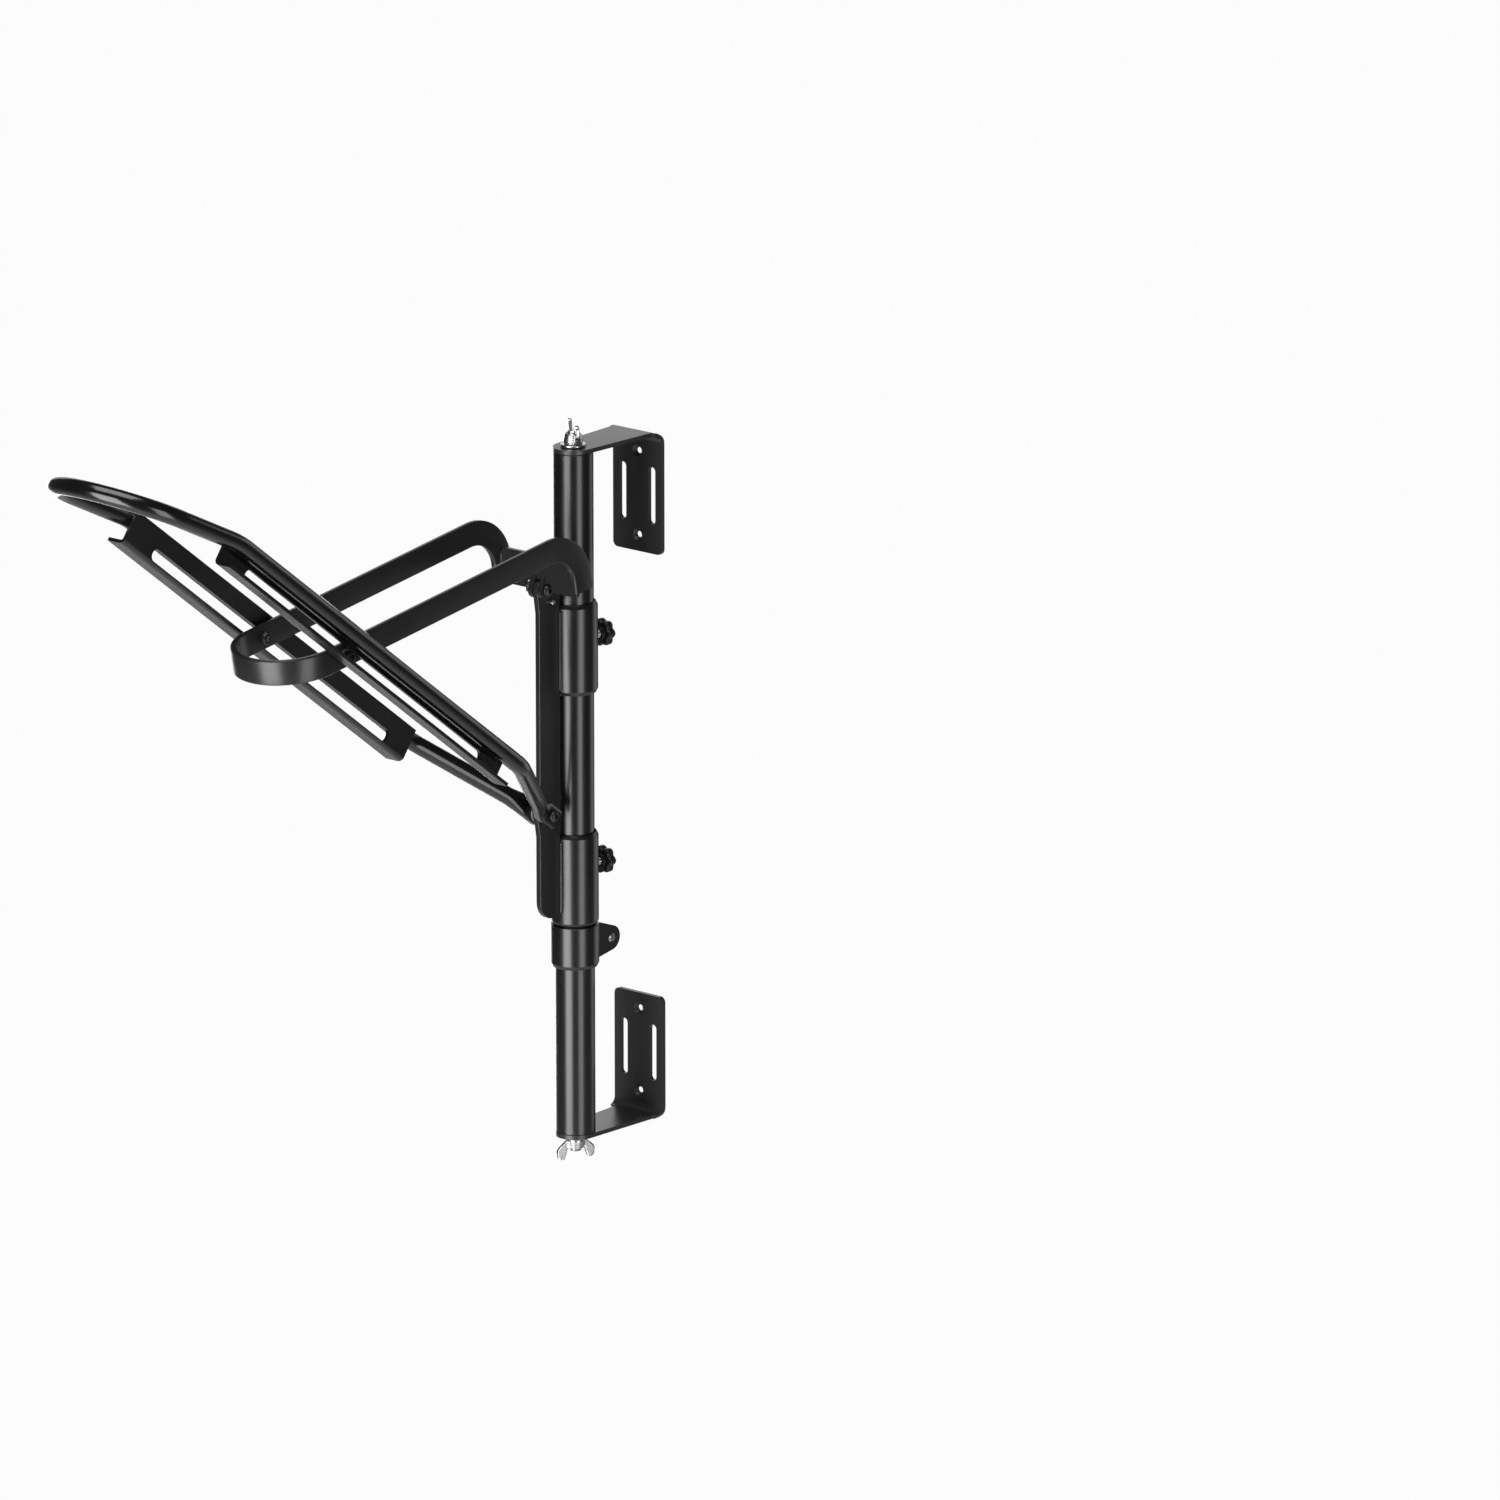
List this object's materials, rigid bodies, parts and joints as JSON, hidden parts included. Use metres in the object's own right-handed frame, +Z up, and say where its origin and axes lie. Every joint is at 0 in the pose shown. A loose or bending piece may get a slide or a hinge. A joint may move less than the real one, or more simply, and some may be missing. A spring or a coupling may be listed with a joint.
{
  "type": "folding bike wall mount",
  "caption": "Wall-mounted pole with a turning, height-adjustable sleeve that carries a folding wheel cradle: a slotted tube loop and a hooked bow linked through it.",
  "frame": {"origin": "centre of the upper wall plate's back face, on the wall's surface", "axes": "+Y into the wall, +Z up along the pole, +X to the right for someone who faces the wall; the cradle reaches out towards -Y"},
  "size_m": [0.1082, 0.5527, 0.5664],
  "materials": {
    "powder_black": "satin black powder coat",
    "gloss_black": "gloss black powder coat",
    "satin_grey": "satin dark grey coat",
    "knob_black": "moulded black plastic",
    "bearing_grey": "plain grey bearing plastic",
    "bright_zinc": "bright zinc plate"
  },
  "bodies": {
    "wall_fixture": {"top_bracket": "powder_black", "bottom_bracket": "powder_black", "pole": "powder_black", "top_pole_plug": "bright_zinc", "bottom_pole_plug": "bright_zinc", "top_stud": "bright_zinc", "bottom_stud": "bright_zinc", "top_washer": "bright_zinc", "bottom_washer": "bright_zinc"},
    "top_nut": {"top_wing_nut": "bright_zinc"},
    "bottom_nut": {"bottom_wing_nut": "bright_zinc"},
    "stop": {"clamp_collar": "powder_black", "clamp_screw": "bright_zinc"},
    "stop_knob": {"clamp_knob": "knob_black"},
    "sleeve": {"upper_collar": "powder_black", "lower_collar": "powder_black", "upper_bushing": "bearing_grey", "lower_bushing": "bearing_grey", "hinge_rib": "satin_grey", "rib_pin": "bright_zinc", "bow_pivot_bolt": "bright_zinc", "bow_pivot_nut": "bright_zinc", "frame_pivot_bolt": "bright_zinc", "frame_pivot_nut": "bright_zinc", "left_pivot_spacer": "bearing_grey", "right_pivot_spacer": "bearing_grey"},
    "upper_star": {"upper_star_knob": "knob_black", "upper_knob_stud": "bright_zinc"},
    "lower_star": {"lower_star_knob": "knob_black", "lower_knob_stud": "bright_zinc"},
    "cradle_frame": {"frame_loop": "gloss_black", "left_rail": "powder_black", "right_rail": "powder_black"},
    "bow_arm": {"bow": "satin_grey", "cross_plate": "satin_grey", "left_slot_bolt": "bright_zinc", "right_slot_bolt": "bright_zinc", "left_slot_nut": "bright_zinc", "right_slot_nut": "bright_zinc", "left_slot_washer": "bearing_grey", "right_slot_washer": "bearing_grey"}
  },
  "joints": [
    {"name": "height_slide", "type": "slide", "parent": "wall_fixture", "child": "stop", "axis": [0, 0, 1], "range_m": [-0.115, 0.1]},
    {"name": "swivel", "type": "hinge", "parent": "stop", "child": "sleeve", "pos_m": [0, -0.0684, -0.2], "axis": [0, 0, 1], "range_deg": [-90, 90]},
    {"name": "cradle_fold", "type": "hinge", "parent": "sleeve", "child": "cradle_frame", "pos_m": [0, -0.1024, -0.2038], "axis": [-1, 0, 0], "range_deg": [0, 33]},
    {"name": "bow_fold", "type": "hinge", "parent": "sleeve", "child": "bow_arm", "pos_m": [0, -0.102, -0.0488], "axis": [-1, 0, 0], "range_deg": [0, 52.1]},
    {"name": "clamp_knob_turn", "type": "hinge", "parent": "stop", "child": "stop_knob", "pos_m": [-0.015, -0.0374, -0.3038], "axis": [-1, 0, 0], "continuous": true},
    {"name": "upper_star_turn", "type": "hinge", "parent": "sleeve", "child": "upper_star", "pos_m": [0, -0.04, -0.0915], "axis": [0, 1, 0], "continuous": true},
    {"name": "lower_star_turn", "type": "hinge", "parent": "sleeve", "child": "lower_star", "pos_m": [0, -0.04, -0.2495], "axis": [0, 1, 0], "continuous": true},
    {"name": "top_nut_turn", "type": "hinge", "parent": "wall_fixture", "child": "top_nut", "pos_m": [0, -0.0684, 0.047], "axis": [0, 0, 1], "continuous": true},
    {"name": "bottom_nut_turn", "type": "hinge", "parent": "wall_fixture", "child": "bottom_nut", "pos_m": [0, -0.0684, -0.441], "axis": [0, 0, -1], "continuous": true}
  ],
  "couplings": [
    {"joint": "bow_fold", "follows": "cradle_fold", "ratio": 1.578}
  ]
}
